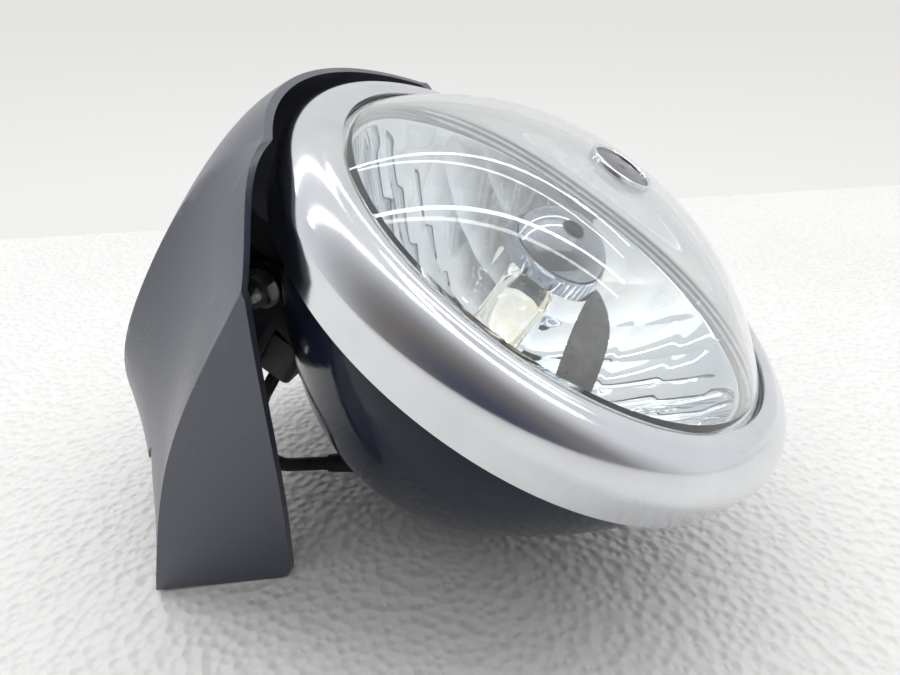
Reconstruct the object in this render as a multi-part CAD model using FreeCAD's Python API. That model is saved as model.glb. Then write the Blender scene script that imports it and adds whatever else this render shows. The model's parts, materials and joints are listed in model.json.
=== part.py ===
"""Round motorcycle headlight under a cast visor, hung on a knuckle that lets it be aimed.

Millimetres. The lamp axis runs along Y and the lens faces -Y, with +Z up. Pieces are drawn about
the lamp axis, with y = 0 at the trim ring's rear edge, and are moved at the end so that the origin
is at the fork mount.
"""
import FreeCAD, Part
import math
import os

Vector = FreeCAD.Vector

# Fits between pieces
TURN_GAP = 0.3
HOLE_GAP = 0.2
BOLT_HOLE_GAP = 0.4

# How near two places count as one, and how near a direction counts as along an axis
SAME_PLACE = 0.01
NEARLY_ALONG = 0.9

# Lens: a glass dome with a flat rim
LENS_EDGE_RADIUS = 69.0
LENS_EDGE_Y = -18.3
LENS_RISE = 26.0
LENS_POWER = 2.4
LENS_GLASS = 3.5
LENS_RIM = 4.5

# Bucket: a deep bowl, r = BUCKET_RADIUS * sqrt(1 - (y / BUCKET_DEPTH) ** BUCKET_POWER)
BUCKET_LAND = 3.0
BUCKET_RADIUS = LENS_EDGE_RADIUS + LENS_RIM + BUCKET_LAND
BUCKET_DEPTH = 85.5
BUCKET_POWER = 1.25
BUCKET_WALL = 2.0
DRAIN_RADIUS = 2.6
DRAIN_Y = 58.0

# Trim ring: a pressed sheet with a plain skirt and a rolled front
RING_OVERHANG = 4.5
RING_RADIUS = BUCKET_RADIUS + RING_OVERHANG
RING_FLARE = 1.3
RING_SKIRT = 10.0
RING_CREST_IN = 6.0
RING_CREST_Y = -19.3
RING_ROLL_Y = -15.7
RING_ROLL_IN = 2.0
RING_FRONT_BULGE = 0.7
RING_SHEET = 1.2

# Medallion at the lens centre
MEDALLION_RADIUS = 9.4
MEDALLION_RIM = 1.1
MEDALLION_HEIGHT = 1.4
MEDALLION_SINK = 0.5
MEDALLION_BEVEL = 0.4
MEDALLION_DISC_DROP = 0.7
MEDALLION_DISC_CROWN = 0.3

# Lamp unit inside the bucket
REFLECTOR_SHEET = 1.2
REFLECTOR_NECK_RADIUS = 19.0
REFLECTOR_NECK_Y = 34.0
REFLECTOR_LIP = 3.0
GASKET_HEIGHT = 1.3
GASKET_WIDTH = 8.0
SHIELD_RADIUS = 14.5
SHIELD_FRONT_Y = -31.0
SHIELD_LENGTH = 20.0
SHIELD_SHEET = 0.8
SHIELD_NOSE = 12.0
STRAP_WIDTH = 14.0
STRAP_SHEET = 1.6
STRAP_REACH = 35.0
STRAP_TAB = 8.0
BULB_RADIUS = 8.5
BULB_TIP_Y = -8.0
COLLAR_RADIUS = 21.0
COLLAR_HEIGHT = 3.0
CAP_RADIUS = 12.5
CAP_LENGTH = 12.0
BLADE_LENGTH = 8.0
BLADE_WIDTH = 7.6
BLADE_SHEET = 0.8
BLADE_CIRCLE = 7.0
CLIP_WIRE = 1.4
BOOT_RADIUS = 27.0
BOOT_RUBBER = 1.8
SOCKET_SIZE = 24.0
SOCKET_LENGTH = 16.0
SOCKET_CORNER = 4.0

# Ring screw at the bottom of the skirt
RING_SCREW_RADIUS = 2.0
RING_SCREW_HEAD_RADIUS = 4.0
RING_SCREW_HEAD_HEIGHT = 2.0
RING_SCREW_ROUND = 1.0
RING_SCREW_Y = -5.0
RING_SCREW_LENGTH = 9.0
RING_NUT_SIZE = 9.0
RING_NUT_HEIGHT = 3.0

# Visor casting. Heights are drops below the ring's radius, so that the casting follows the ring
VISOR_WALL = 2.2
VISOR_FRONT_Y = -16.0
BROW_Z = RING_RADIUS - 11.0
CORNER_Y = 8.0
CORNER_Z = RING_RADIUS - 29.0
LEG_END_LOW_Y = 102.5
LEG_END_LOW_Z = RING_RADIUS - 73.8
LEG_END_HIGH_Y = 119.5
LEG_END_HIGH_Z = RING_RADIUS - 42.5
LEG_CORNER_ROUND = 4.0
FACET_LEAN = 0.54
FLANK_OUTWARD = (0.85, 0.5)
CREASE_INWARD = (0.5, 0.87)
CORNER_INWARD = (1.1, 0.1)
SECTION_SPARE = 6.0
LEG_LIP = 4.0
LEG_LIP_ROOT = 12.0
CROWN_REAR_Y = 95.0
REAR_WALL = 5.0
REAR_WALL_LOW_Z = RING_RADIUS - 17.0
NOTCH_Y = 70.0
NOTCH_RADIUS = 20.0

# Fork mount: two bosses on the visor's rear wall
MOUNT_SPACING = 56.0
MOUNT_Z = RING_RADIUS - 8.0
MOUNT_BOSS_RADIUS = 7.5
MOUNT_BOSS_HEIGHT = 3.0
MOUNT_HOLE_RADIUS = 4.2

# Aim mount between the visor and the bucket
PIVOT_Y = 50.0
PIVOT_Z = BUCKET_RADIUS - 6.5
EAR_RADIUS = 8.5
EAR_SHEET = 3.5
KNUCKLE_WIDTH = 16.0
KNUCKLE_RADIUS = 8.5
KNUCKLE_TOP_Z = PIVOT_Z + 19.7
PIVOT_BOLT_RADIUS = 3.0
PIVOT_HEAD_RADIUS = 5.8
PIVOT_HEAD_HEIGHT = 4.0
PIVOT_WASHER = 1.2
CLAMP_BOLT_RADIUS = 4.0
CLAMP_BOLT_DEPTH = 8.0
CLAMP_HEAD_RADIUS = 6.5
CLAMP_HEAD_HEIGHT = 4.0
CLAMP_WASHER_RADIUS = 8.0
CLAMP_WASHER = 1.2
CLAMP_FLOOR = 4.0
CLAMP_POCKET_RADIUS = 10.0
CLAMP_BOSS_RADIUS = 13.0
PLUG_RADIUS = 11.5
PLUG_HEIGHT = 2.4
PLUG_ROUND = 1.2
PLUG_SKIRT = 1.6
SADDLE_WIDTH = 27.0
SADDLE_SHEET = 3.0
SADDLE_FRONT_Y = 28.0
SADDLE_REAR_Y = 68.0
TAIL_SHEET = 3.0
TAIL_LAP = 1.0
RIVET_RADIUS = 2.5
RIVET_HEAD_RADIUS = 4.2
RIVET_HEAD = 2.0
RIVET_END_GAP = 5.0

# Lead from the bulb socket through the bucket's rear to its connector under the visor
LEAD_RADIUS = 2.4
LEAD_BEND = Vector(-9.0, BUCKET_DEPTH - 11.5, -5.0)
LEAD_TURN = Vector(-22.0, BUCKET_DEPTH + 22.5, 38.0)
LEAD_END_X = -6.0
LEAD_RETURN_Y = BUCKET_DEPTH + 17.5
LEAD_ARC_SHARE = 0.45
RELIEF_RADIUS = 4.2
RELIEF_TIP_RADIUS = 3.1
RELIEF_START = 6.0
RELIEF_LENGTH = 26.0
RELIEF_STRAIGHT = 8.7
CONNECTOR_Z = PIVOT_Z - 16.0
CONNECTOR_FRONT_Y = 66.0
CONNECTOR_WIDTH = 18.0
CONNECTOR_HEIGHT = 12.0
CONNECTOR_LENGTH = 16.0
CONNECTOR_CORNER = 2.4

# Visor sections: y, then crown top, crease (x, z) and corner (x, z), each measured from the ring's radius,
# then how far the flank swells (or, below zero, is hollowed)
VISOR_SECTIONS = [
    (-20.0, 3.8, (-31.0, -13.0), (-11.0, -26.5), 3.5),
    (10.0, 15.3, (-31.0, 2.6), (-8.5, -27.8), -1.5),
    (45.0, 19.3, (-32.0, 7.2), (-6.2, -27.8), -4.5),
    (75.0, 20.8, (-33.5, 5.8), (-6.0, -31.0), -2.5),
    (96.0, 11.3, (-38.5, -3.2), (-6.0, -36.0), -0.5),
    (112.0, -1.0, (-45.0, -17.0), (-6.2, -40.5), 1.0),
    (140.0, -23.0, (-53.0, -31.0), (-6.5, -49.0), 1.5),
]


def on_axis(radius, y):
    """A point of a turned profile: distance from the lamp axis, and place along it."""
    return Vector(radius, y, 0)


def line(a, b):
    return Part.LineSegment(a, b).toShape()


def arc(a, middle, b):
    return Part.Arc(a, middle, b).toShape()


def turned(edges):
    """Solid of revolution about the lamp axis from the edges of a closed half profile."""
    face = Part.Face(Part.Wire(Part.__sortEdges__(edges)))
    return face.revolve(Vector(0, 0, 0), Vector(0, 1, 0), 360)


def turned_polygon(points):
    corners = [on_axis(*p) for p in points]
    face = Part.Face(Part.makePolygon(corners + corners[:1]))
    return face.revolve(Vector(0, 0, 0), Vector(0, 1, 0), 360)


def side_plate(points, x_low, x_high):
    """A plate drawn in side view as (y, z) corners, from x_low to x_high."""
    corners = [Vector(x_low, y, z) for y, z in points]
    face = Part.Face(Part.makePolygon(corners + corners[:1]))
    return face.extrude(Vector(x_high - x_low, 0, 0))


def hexagon(radius, height, base, direction):
    """A six-sided prism with the given corner radius."""
    prism = Part.Face(Part.makePolygon([
        Vector(radius * math.cos(math.radians(60 * k)), radius * math.sin(math.radians(60 * k)), 0)
        for k in range(7)])).extrude(Vector(0, 0, height))
    prism.Placement = FreeCAD.Placement(base, FreeCAD.Rotation(Vector(0, 0, 1), direction))
    return prism


def bucket_radius_at(y, offset=0.0):
    """Radius of the bowl's outer face at a place along the axis, less a wall."""
    share = max(0.0, 1.0 - (max(0.0, y) / (BUCKET_DEPTH - offset)) ** BUCKET_POWER)
    return (BUCKET_RADIUS - offset) * math.sqrt(share)


def bowl_solid(offset):
    """The filled bowl moved inwards by offset: a straight mouth, then the curve to the rear pole."""
    depth = BUCKET_DEPTH - offset
    shares = [0.0, 0.12, 0.3, 0.5, 0.7, 0.85, 0.94, 0.985, 1.0]
    points = [on_axis(bucket_radius_at(depth * s, offset), depth * s) for s in shares]
    curve = Part.BSplineCurve()
    curve.interpolate(Points=points)
    mouth = on_axis(points[0].x, bucket_mouth_y())
    axis_front = on_axis(0, bucket_mouth_y())
    return turned([line(axis_front, mouth), line(mouth, points[0]), curve.toShape(),
                   line(points[-1], axis_front)])


def make_bucket():
    bowl = bowl_solid(0).cut(bowl_solid(BUCKET_WALL))
    drain = Part.makeCylinder(DRAIN_RADIUS, BUCKET_RADIUS, Vector(0, DRAIN_Y, 0), Vector(0, 0, -1))
    bowl = bowl.cut(drain).cut(lead_hole()).cut(ring_screw_hole())
    for y in rivet_places():
        bowl = bowl.cut(rivet_shank(y, RIVET_RADIUS))
    return bowl


def ring_sheet_edges():
    """The trim ring's outer line: conical skirt, rolled shoulder, and a front that dips to the lens."""
    rear = on_axis(RING_RADIUS, 0)
    shoulder = on_axis(RING_RADIUS + RING_FLARE, -RING_SKIRT)
    roll = on_axis(RING_RADIUS + RING_FLARE - RING_ROLL_IN, RING_ROLL_Y)
    crest = on_axis(RING_RADIUS - RING_CREST_IN, RING_CREST_Y)
    edge = on_axis(LENS_EDGE_RADIUS + HOLE_GAP, LENS_EDGE_Y - TURN_GAP - RING_SHEET)
    slope = (crest + edge) * 0.5 + on_axis(0, -RING_FRONT_BULGE)
    return [line(rear, shoulder), arc(shoulder, roll, crest), arc(crest, slope, edge)]


def make_trim_ring():
    sheet = Part.Wire(ring_sheet_edges()).makeOffset2D(RING_SHEET, join=0, fill=True, openResult=True)
    ring = sheet.revolve(Vector(0, 0, 0), Vector(0, 1, 0), 360)
    return ring.cut(ring_screw_hole())


def ring_screw_hole():
    depth = RING_SCREW_LENGTH + RING_FLARE
    start = Vector(0, RING_SCREW_Y, -RING_RADIUS - RING_FLARE)
    return Part.makeCylinder(RING_SCREW_RADIUS + HOLE_GAP, depth, start, Vector(0, 0, 1))


def dome_face(offset):
    """Filled cap under the dome y = rim - rise (1 - (r / edge) ** LENS_POWER), less offset."""
    edge = LENS_EDGE_RADIUS - offset
    rise = LENS_RISE - offset
    shares = [0.0, 0.25, 0.5, 0.7, 0.85, 0.95, 1.0]
    points = [on_axis(edge * s, LENS_EDGE_Y - rise * (1 - s ** LENS_POWER)) for s in shares]
    curve = Part.BSplineCurve()
    end_slope = Vector(edge, rise * LENS_POWER, 0)
    curve.interpolate(Points=points, InitialTangent=Vector(1, 0, 0), FinalTangent=end_slope.normalize())
    base = on_axis(0, LENS_EDGE_Y)
    return turned([curve.toShape(), line(points[-1], base), line(base, points[0])])


def make_lens():
    outer = LENS_EDGE_RADIUS + LENS_RIM
    inner = LENS_EDGE_RADIUS - LENS_GLASS
    rim = turned_polygon([(inner, LENS_EDGE_Y), (outer, LENS_EDGE_Y),
                          (outer, LENS_EDGE_Y + LENS_GLASS), (inner, LENS_EDGE_Y + LENS_GLASS)])
    dome = dome_face(0).cut(dome_face(LENS_GLASS))
    return dome.fuse(rim).cut(medallion_seat()).removeSplitter()


def medallion_plane():
    return LENS_EDGE_Y - LENS_RISE + MEDALLION_SINK


def medallion_seat():
    base = Vector(0, medallion_plane(), 0)
    return Part.makeCylinder(MEDALLION_RADIUS, LENS_RISE, base, Vector(0, -1, 0))


def make_medallion():
    """A raised rim round a shallow dished disc, both standing on a spot-faced flat of the glass."""
    base = medallion_plane()
    top = base - MEDALLION_HEIGHT
    inside = MEDALLION_RADIUS - MEDALLION_RIM
    bevel = MEDALLION_BEVEL
    rim = turned_polygon([(inside, base), (MEDALLION_RADIUS, base), (MEDALLION_RADIUS, top + bevel),
                          (MEDALLION_RADIUS - bevel, top), (inside + bevel, top), (inside, top + bevel)])
    disc_edge = top + MEDALLION_DISC_DROP
    disc_top = disc_edge - MEDALLION_DISC_CROWN
    disc = turned_polygon([(0, base), (inside, base), (inside, disc_edge), (0, disc_top)])
    return rim, disc


def lens_back_y():
    return LENS_EDGE_Y + LENS_GLASS


def reflector_profile(offset):
    """The dish's line from its lip to its neck, a parabola r ** 2 = 4 focus (apex - y), and its ends."""
    front_radius = LENS_EDGE_RADIUS - LENS_GLASS
    front_y = lens_back_y() + REFLECTOR_SHEET
    span = REFLECTOR_NECK_Y - front_y
    focus = (front_radius ** 2 - REFLECTOR_NECK_RADIUS ** 2) / (4 * span)
    apex = REFLECTOR_NECK_Y + REFLECTOR_NECK_RADIUS ** 2 / (4 * focus)
    points = []
    steps = 5
    for k in range(steps + 1):
        radius = front_radius + (REFLECTOR_NECK_RADIUS - front_radius) * k / steps
        points.append(on_axis(radius + offset, apex - radius ** 2 / (4 * focus) + offset))
    curve = Part.BSplineCurve()
    curve.interpolate(points)
    return curve.toShape(), points[0], points[-1]


def make_reflector():
    inner, inner_front, inner_neck = reflector_profile(0)
    outer, outer_front, outer_neck = reflector_profile(REFLECTOR_SHEET)
    lip = LENS_EDGE_RADIUS + LENS_RIM
    top = lens_back_y()
    corner_a = on_axis(inner_front.x, top)
    corner_b = on_axis(lip, top)
    corner_c = on_axis(lip, top + REFLECTOR_LIP)
    corner_d = on_axis(lip - REFLECTOR_SHEET, top + REFLECTOR_LIP)
    corner_e = on_axis(lip - REFLECTOR_SHEET, outer_front.y)
    return turned([inner, line(inner_front, corner_a), line(corner_a, corner_b), line(corner_b, corner_c),
                   line(corner_c, corner_d), line(corner_d, corner_e), line(corner_e, outer_front), outer,
                   line(outer_neck, inner_neck)])


def bucket_mouth_y():
    return lens_back_y() + REFLECTOR_LIP + GASKET_HEIGHT


def make_gasket():
    """Rubber ring between the reflector's lip and the bucket's mouth."""
    inner = BUCKET_RADIUS - GASKET_WIDTH
    mouth = bucket_mouth_y()
    return turned_polygon([(inner, mouth - GASKET_HEIGHT), (BUCKET_RADIUS, mouth - GASKET_HEIGHT),
                           (BUCKET_RADIUS, mouth), (inner, mouth)])


def reflector_back_y(radius):
    """Place along the axis of the dish's rear face at a radius."""
    front_radius = LENS_EDGE_RADIUS - LENS_GLASS
    span = REFLECTOR_NECK_Y - lens_back_y() - REFLECTOR_SHEET
    slope = (front_radius ** 2 - REFLECTOR_NECK_RADIUS ** 2) / span
    inside = radius - REFLECTOR_SHEET
    return REFLECTOR_NECK_Y + (REFLECTOR_NECK_RADIUS ** 2 - inside ** 2) / slope + REFLECTOR_SHEET


def make_shield_cup():
    """A deep-drawn cap in front of the bulb, with a rounded nose, open to the rear."""
    rear = SHIELD_FRONT_Y + SHIELD_LENGTH
    inside = SHIELD_RADIUS - SHIELD_SHEET
    nose = SHIELD_FRONT_Y + SHIELD_NOSE
    half = math.sqrt(0.5)

    def outline(radius, corner, front):
        flat = radius - corner
        return [line(on_axis(0, front), on_axis(flat, front)),
                arc(on_axis(flat, front), on_axis(flat + corner * half, front + corner * (1 - half)),
                    on_axis(radius, nose)),
                line(on_axis(radius, nose), on_axis(radius, rear))]

    outer = outline(SHIELD_RADIUS, SHIELD_NOSE, SHIELD_FRONT_Y)
    inner = outline(inside, SHIELD_NOSE - SHIELD_SHEET, SHIELD_FRONT_Y + SHIELD_SHEET)
    ends = [line(on_axis(SHIELD_RADIUS, rear), on_axis(inside, rear)),
            line(on_axis(0, SHIELD_FRONT_Y), on_axis(0, SHIELD_FRONT_Y + SHIELD_SHEET))]
    return turned(outer + inner + ends)


def make_shield_strap(reflector):
    """A flat strut on edge in the middle plane, from the cup's underside back to the dish."""
    half = STRAP_SHEET / 2
    top = -math.sqrt(SHIELD_RADIUS ** 2 - half ** 2)
    tab_front = SHIELD_FRONT_Y + SHIELD_NOSE
    foot_high = STRAP_REACH - STRAP_WIDTH / 2
    foot_low = STRAP_REACH + STRAP_WIDTH / 2
    inset = REFLECTOR_SHEET / 4
    corners = [(tab_front, top), (tab_front + STRAP_TAB, top),
               (reflector_back_y(foot_high) - inset, -foot_high),
               (reflector_back_y(foot_low) - inset, -foot_low)]
    strut = side_plate(corners, -half, half)
    nose = Vector(0, SHIELD_FRONT_Y, 0)
    cup = Part.makeCylinder(SHIELD_RADIUS, 2 * SHIELD_LENGTH, nose, Vector(0, 1, 0))
    return strut.cut(cup).cut(reflector)


def collar_front_y():
    return REFLECTOR_NECK_Y + REFLECTOR_SHEET


def cap_front_y():
    return collar_front_y() + COLLAR_HEIGHT


def cap_rear_y():
    return cap_front_y() + CAP_LENGTH


def make_bulb_glass():
    """A tube with a round tip, seated on the collar."""
    dome = BULB_TIP_Y + BULB_RADIUS
    half = BULB_RADIUS * math.sqrt(0.5)
    tip = on_axis(0, BULB_TIP_Y)
    side = on_axis(BULB_RADIUS, dome)
    foot = on_axis(BULB_RADIUS, collar_front_y())
    centre = on_axis(0, collar_front_y())
    return turned([arc(tip, on_axis(half, dome - half), side), line(side, foot), line(foot, centre),
                   line(centre, tip)])


def make_bulb_collar():
    """The locating flange and the round cap behind it."""
    front = collar_front_y()
    step = cap_front_y()
    rear = cap_rear_y()
    return turned_polygon([(0, front), (COLLAR_RADIUS, front), (COLLAR_RADIUS, step), (CAP_RADIUS, step),
                           (CAP_RADIUS, rear), (0, rear)])


def contact_blades(gap):
    """Three flat contacts on three sides of a square, each grown by gap."""
    blades = []
    for angle in (0, 90, 180):
        width = BLADE_WIDTH + 2 * gap
        sheet = BLADE_SHEET + 2 * gap
        blade = Part.makeBox(sheet, BLADE_LENGTH + gap, width,
                             Vector(BLADE_CIRCLE - sheet / 2, cap_rear_y(), -width / 2))
        blade.rotate(Vector(0, 0, 0), Vector(0, 1, 0), -angle)
        blades.append(blade)
    return blades


def make_bulb_contacts():
    return Part.makeCompound(contact_blades(0))


def make_bulb_clip():
    """A round wire spring that holds the collar against the dish."""
    wire = CLIP_WIRE / 2
    centre = Vector(0, cap_front_y() + wire, 0)
    return Part.makeTorus(COLLAR_RADIUS - 2 * CLIP_WIRE, wire, centre, Vector(0, 1, 0))


def make_bulb_boot():
    """A rubber cone from the dish's back to the bulb's cap."""
    neck = CAP_RADIUS + HOLE_GAP
    front = reflector_back_y(BOOT_RADIUS) + HOLE_GAP
    rear = cap_rear_y() - HOLE_GAP
    shoulder = cap_front_y() + CLIP_WIRE + BOOT_RUBBER
    inside = BOOT_RADIUS - BOOT_RUBBER
    step = shoulder + BOOT_RUBBER
    outside = neck + BOOT_RUBBER
    return turned_polygon([(inside, front + BOOT_RUBBER), (BOOT_RADIUS, front), (BOOT_RADIUS, step),
                           (outside, step + BOOT_RUBBER), (outside, rear), (neck, rear),
                           (neck, step), (inside, shoulder)])


def socket_rear_y():
    return cap_rear_y() + SOCKET_LENGTH


def make_bulb_socket():
    """The push-on block behind the bulb, with slots for the contacts."""
    half = SOCKET_SIZE / 2
    block = Part.makeBox(SOCKET_SIZE, SOCKET_LENGTH, SOCKET_SIZE, Vector(-half, cap_rear_y(), -half))
    long_edges = [e for e in block.Edges if abs(e.tangentAt(e.FirstParameter).y) > NEARLY_ALONG]
    block = block.makeFillet(SOCKET_CORNER, long_edges)
    for slot in contact_blades(HOLE_GAP):
        block = block.cut(slot)
    return block


def make_ring_screw():
    """A pan-head screw up through the ring's skirt and the bucket's mouth."""
    up = Vector(0, 0, 1)
    seat = Vector(0, RING_SCREW_Y, -RING_RADIUS - RING_FLARE)
    shank = Part.makeCylinder(RING_SCREW_RADIUS, RING_SCREW_LENGTH, seat, up)
    head = Part.makeCylinder(RING_SCREW_HEAD_RADIUS, RING_SCREW_HEAD_HEIGHT, seat, up * -1)
    rim = [e for e in head.Edges if abs(e.BoundBox.ZMax - head.BoundBox.ZMin) < SAME_PLACE]
    return shank.fuse(head.makeFillet(RING_SCREW_ROUND, rim)).removeSplitter()


def make_ring_nut():
    """The captive nut plate on the inside of the bucket's mouth."""
    half = RING_NUT_SIZE / 2
    bore = BUCKET_RADIUS - BUCKET_WALL
    top = -math.sqrt(bore ** 2 - half ** 2)
    corner = Vector(-half, RING_SCREW_Y - half, top)
    plate = Part.makeBox(RING_NUT_SIZE, RING_NUT_SIZE, RING_NUT_HEIGHT, corner)
    start = Vector(0, RING_SCREW_Y, -BUCKET_RADIUS)
    return plate.cut(Part.makeCylinder(RING_SCREW_RADIUS, BUCKET_RADIUS, start, Vector(0, 0, 1)))


def section_wire(section, inset):
    """One closed section of the visor: crown arc, two flanks, two leg facets and a bottom line."""
    y, top, crease, corner, swell = section
    crease_x = RING_RADIUS + crease[0] - inset * CREASE_INWARD[0]
    crease_z = RING_RADIUS + crease[1] - inset * CREASE_INWARD[1]
    corner_x = RING_RADIUS + corner[0] - inset * CORNER_INWARD[0]
    corner_z = RING_RADIUS + corner[1] - inset * CORNER_INWARD[1]
    low = min(corner_z, leg_low_z(y)) - SECTION_SPARE
    low_x = corner_x - FACET_LEAN * (corner_z - low)
    swell_x = (crease_x + corner_x) / 2 + swell * FLANK_OUTWARD[0]
    swell_z = (crease_z + corner_z) / 2 + swell * FLANK_OUTWARD[1]

    def at(x, z):
        return Vector(x, y, z)

    return Part.Wire([
        line(at(low_x, low), at(corner_x, corner_z)),
        arc(at(corner_x, corner_z), at(swell_x, swell_z), at(crease_x, crease_z)),
        arc(at(crease_x, crease_z), at(0, RING_RADIUS + top - inset), at(-crease_x, crease_z)),
        arc(at(-crease_x, crease_z), at(-swell_x, swell_z), at(-corner_x, corner_z)),
        line(at(-corner_x, corner_z), at(-low_x, low)),
        line(at(-low_x, low), at(low_x, low))])


def leg_low_z(y):
    """Height of the legs' lower edge, a straight line from the front corner to the leg's end."""
    return CORNER_Z + (y - CORNER_Y) * (LEG_END_LOW_Z - CORNER_Z) / (LEG_END_LOW_Y - CORNER_Y)


def between_sections(y, low_crease):
    """Height of the lower crease or of the crown's top at y, straight between the sections on either side."""
    before = [section for section in VISOR_SECTIONS if section[0] <= y][-1]
    after = [section for section in VISOR_SECTIONS if section[0] > y][0]
    share = (y - before[0]) / (after[0] - before[0])
    low, high = (section[3][1] if low_crease else section[1] for section in (before, after))
    return RING_RADIUS + low + (high - low) * share


def beyond_visor():
    """A length past every face of the visor, for cutters."""
    return 1.5 * RING_RADIUS


def visor_body(inset):
    return Part.makeLoft([section_wire(section, inset) for section in VISOR_SECTIONS], True, False)


def side_cutter(edges):
    """A prism right across the visor from edges drawn in side view."""
    face = Part.Face(Part.Wire(edges))
    face.translate(Vector(-beyond_visor(), 0, 0))
    return face.extrude(Vector(2 * beyond_visor(), 0, 0))


def side_lines(points):
    corners = [Vector(0, y, z) for y, z in points]
    return [line(a, b) for a, b in zip(corners, corners[1:])]


def front_and_underside():
    """What lies ahead of the crown's front plane and of the slanted flank edges, and under the legs."""
    far = beyond_visor()
    return side_cutter(side_lines([(-far, far), (VISOR_FRONT_Y, far), (VISOR_FRONT_Y, BROW_Z), (CORNER_Y, CORNER_Z),
                                   (2 * far, leg_low_z(2 * far)), (2 * far, -far), (-far, -far), (-far, far)]))


def rear_and_notch():
    """What lies behind the crown and the legs' ends, with a round notch where crown and leg part."""
    run = LEG_END_HIGH_Y - LEG_END_LOW_Y
    rise = LEG_END_HIGH_Z - LEG_END_LOW_Z
    below = (LEG_END_LOW_Y - run, LEG_END_LOW_Z - rise)
    tip = (LEG_END_HIGH_Y + LEG_LIP * run / rise, LEG_END_HIGH_Z + LEG_LIP)
    centre_y = NOTCH_Y + NOTCH_RADIUS
    centre_z = REAR_WALL_LOW_Z - NOTCH_RADIUS
    start_z = between_sections(NOTCH_Y, True) + LEG_LIP_ROOT
    start_y = centre_y - math.sqrt(NOTCH_RADIUS ** 2 - (start_z - centre_z) ** 2)
    turn = (math.pi / 2 + math.atan2(start_z - centre_z, start_y - centre_y)) / 2
    middle = Vector(0, centre_y + NOTCH_RADIUS * math.cos(turn), centre_z + NOTCH_RADIUS * math.sin(turn))
    far = 2 * beyond_visor()
    edges = side_lines([below, tip, (start_y, start_z)])
    edges.append(arc(Vector(0, start_y, start_z), middle, Vector(0, centre_y, REAR_WALL_LOW_Z)))
    edges += side_lines([(centre_y, REAR_WALL_LOW_Z), (CROWN_REAR_Y, REAR_WALL_LOW_Z), (CROWN_REAR_Y, far),
                         (far, far), (far, below[1]), below])
    return side_cutter(edges)


def clamp_floor_z():
    return KNUCKLE_TOP_Z + TURN_GAP + CLAMP_FLOOR


def upright(radius, low, high):
    """A round bar on the swivel axis."""
    return Part.makeCylinder(radius, high - low, Vector(0, PIVOT_Y, low), Vector(0, 0, 1))


def make_visor():
    """The trimmed outer body less a cavity, which leaves the rear wall and the clamp boss standing."""
    body = visor_body(0).cut(front_and_underside()).cut(rear_and_notch())
    far = beyond_visor()
    wall_corner = Vector(-far, CROWN_REAR_Y - REAR_WALL, REAR_WALL_LOW_Z)
    wall = Part.makeBox(2 * far, REAR_WALL, far, wall_corner)
    boss = upright(CLAMP_BOSS_RADIUS, KNUCKLE_TOP_Z + TURN_GAP, far)
    shell = body.cut(visor_body(VISOR_WALL).cut(wall).cut(boss))
    for side in (-1, 1):
        seat = Vector(side * MOUNT_SPACING / 2, CROWN_REAR_Y - REAR_WALL / 2, MOUNT_Z)
        height = REAR_WALL / 2 + MOUNT_BOSS_HEIGHT
        shell = shell.fuse(Part.makeCylinder(MOUNT_BOSS_RADIUS, height, seat, Vector(0, 1, 0)))
        start = seat - Vector(0, REAR_WALL, 0)
        hole = Part.makeCylinder(MOUNT_HOLE_RADIUS, 2 * REAR_WALL + height, start, Vector(0, 1, 0))
        shell = shell.cut(hole)
    shell = shell.cut(upright(CLAMP_POCKET_RADIUS, clamp_floor_z(), far))
    shell = shell.cut(upright(CLAMP_BOLT_RADIUS + BOLT_HOLE_GAP, PIVOT_Z, far))
    return shell.makeFillet(LEG_CORNER_ROUND, leg_corners(shell))


def leg_corners(shell):
    """The short edges across the wall at each leg's lowest corner."""
    place = Vector(0, LEG_END_LOW_Y, LEG_END_LOW_Z)
    return [e for e in shell.Edges
            if all(math.hypot(v.Y - place.y, v.Z - place.z) < SAME_PLACE for v in e.Vertexes)]


def make_snap_plug():
    """A cap over the clamp bolt: its underside follows the crown, and its skirt grips the pocket."""
    low = washer_low_z()
    top = between_sections(PIVOT_Y, False) + PLUG_HEIGHT
    cap = upright(PLUG_RADIUS, low, top)
    rim = [e for e in cap.Edges if abs(e.BoundBox.ZMin - top) < SAME_PLACE]
    cap = cap.makeFillet(PLUG_ROUND, rim).cut(visor_body(0))
    skirt = upright(CLAMP_POCKET_RADIUS, low, top - PLUG_ROUND)
    return cap.fuse(skirt.cut(upright(CLAMP_POCKET_RADIUS - PLUG_SKIRT, low, top - PLUG_ROUND)))


def washer_low_z():
    return clamp_floor_z() + TURN_GAP


def make_clamp_bolt():
    low = KNUCKLE_TOP_Z - CLAMP_BOLT_DEPTH
    seat = washer_low_z() + CLAMP_WASHER
    head = hexagon(CLAMP_HEAD_RADIUS, CLAMP_HEAD_HEIGHT, Vector(0, PIVOT_Y, seat), Vector(0, 0, 1))
    return upright(CLAMP_BOLT_RADIUS, low, seat).fuse(head)


def make_clamp_washer():
    low = washer_low_z()
    disc = upright(CLAMP_WASHER_RADIUS, low, low + CLAMP_WASHER)
    return disc.cut(upright(CLAMP_BOLT_RADIUS, low, low + CLAMP_WASHER))


def crossbar(radius, x_low, x_high):
    """A round bar on the tilt axis."""
    return Part.makeCylinder(radius, x_high - x_low, Vector(x_low, PIVOT_Y, PIVOT_Z), Vector(1, 0, 0))


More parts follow.
